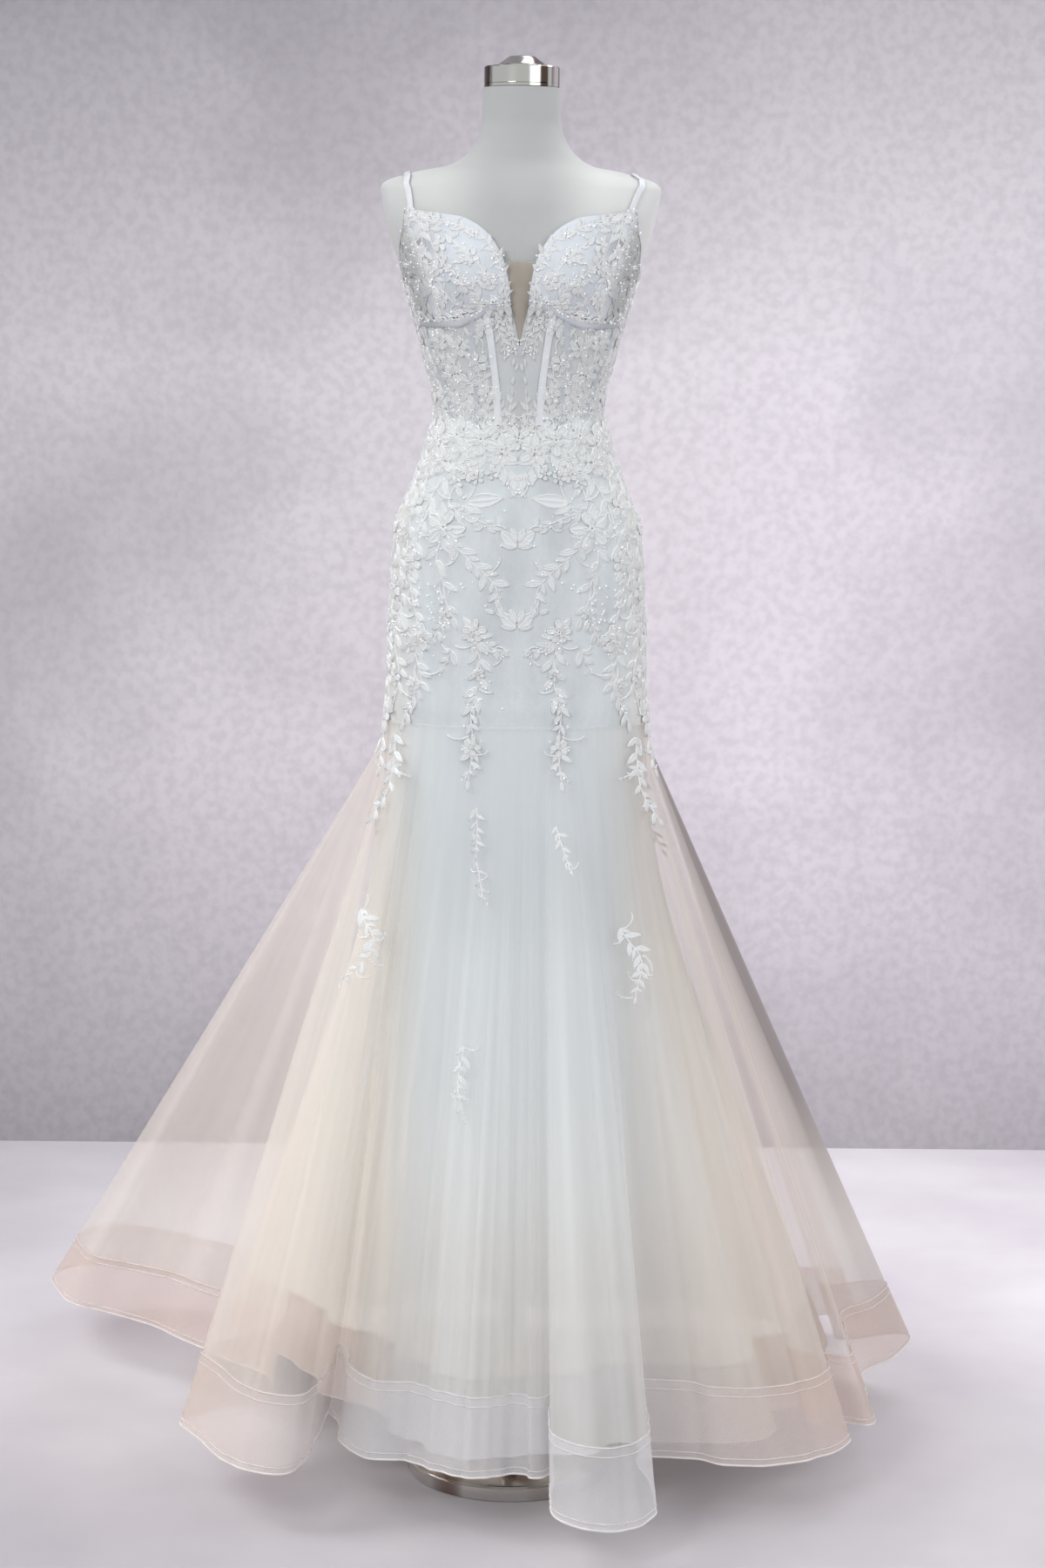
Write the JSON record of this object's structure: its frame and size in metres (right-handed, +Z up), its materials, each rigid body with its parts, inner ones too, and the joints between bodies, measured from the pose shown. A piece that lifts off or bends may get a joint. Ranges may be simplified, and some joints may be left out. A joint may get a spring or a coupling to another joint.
{
  "type": "mermaid gown on a display form",
  "caption": "Sleeveless mermaid evening gown with corded lace bodice and flared tulle skirt, worn by a limbless display form on a round base.",
  "frame": {"origin": "centre of the underside of the round base, on the floor", "axes": "+Z up the pole, -Y towards the front of the gown, +X towards the viewer's right when the front is seen"},
  "size_m": [1.2361, 1.1668, 1.8126],
  "materials": {
    "lace": "matte",
    "sheer": "matte",
    "nude_mesh": "matte",
    "satin": "satin",
    "tulle": "matte",
    "horsehair": "satin",
    "linen": "matte",
    "chrome": "polished"
  },
  "bodies": {
    "root": {"base_disc": "chrome", "pole": "chrome", "form_torso": "linen", "neck_collar": "chrome", "neck_cap": "chrome", "plunge_insert": "nude_mesh", "bodice_centre": "sheer", "cup_left": "lace", "bodice_front_left": "sheer", "bodice_side_left": "lace", "bodice_back_left": "lace", "bone_inner_left": "satin", "bone_outer_left": "satin", "bone_side_left": "satin", "bone_back_left": "satin", "strap_left": "satin", "cup_right": "lace", "bodice_front_right": "sheer", "bodice_side_right": "lace", "bodice_back_right": "lace", "bone_inner_right": "satin", "bone_outer_right": "satin", "bone_side_right": "satin", "bone_back_right": "satin", "strap_right": "satin", "back_zip": "satin", "hip_front": "lace", "hip_back_left": "lace", "hip_back_right": "lace", "applique_centre": "lace", "applique_waist_left": "lace", "applique_waist_right": "lace", "applique_hip_left": "lace", "applique_hip_right": "lace", "applique_front_left": "lace", "applique_front_right": "lace", "applique_side_left": "lace", "applique_side_right": "lace", "applique_cup_left": "lace", "applique_cup_right": "lace", "tulle_outer_1": "tulle", "tulle_outer_2": "tulle", "tulle_outer_3": "tulle", "tulle_outer_4": "tulle", "tulle_outer_5": "tulle", "tulle_outer_6": "tulle", "tulle_outer_7": "tulle", "tulle_outer_8": "tulle", "hem_band_outer": "horsehair", "tulle_inner_1": "tulle", "tulle_inner_2": "tulle", "tulle_inner_3": "tulle", "tulle_inner_4": "tulle", "hem_band_inner": "horsehair", "skirt_lining_front": "satin", "skirt_lining_back": "satin"}
  },
  "joints": []
}
